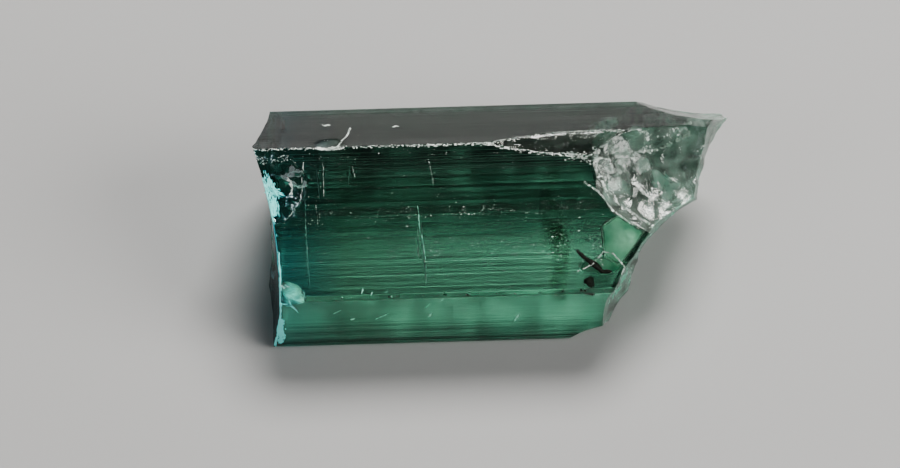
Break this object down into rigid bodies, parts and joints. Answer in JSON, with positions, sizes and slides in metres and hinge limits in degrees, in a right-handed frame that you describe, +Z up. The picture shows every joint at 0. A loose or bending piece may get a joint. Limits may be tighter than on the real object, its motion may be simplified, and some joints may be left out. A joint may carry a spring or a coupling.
{
  "type": "tourmaline crystal",
  "caption": "Broken length of a green gem crystal: a prism with flat side faces and conchoidal fractures at both ends, lying on one prism face.",
  "frame": {"origin": "middle of the crystal's box, on the surface that it rests on", "axes": "+X along the crystal's long axis towards the undercut end, +Y towards the back, +Z up"},
  "size_m": [0.0284, 0.0126, 0.0094],
  "materials": {
    "tourmaline": "see-through blue-green to green gem stone, glossy, with fine lengthwise growth lines and glassy shell-like fractures"
  },
  "bodies": {
    "root": {"tourmaline_crystal": "tourmaline"}
  },
  "joints": []
}
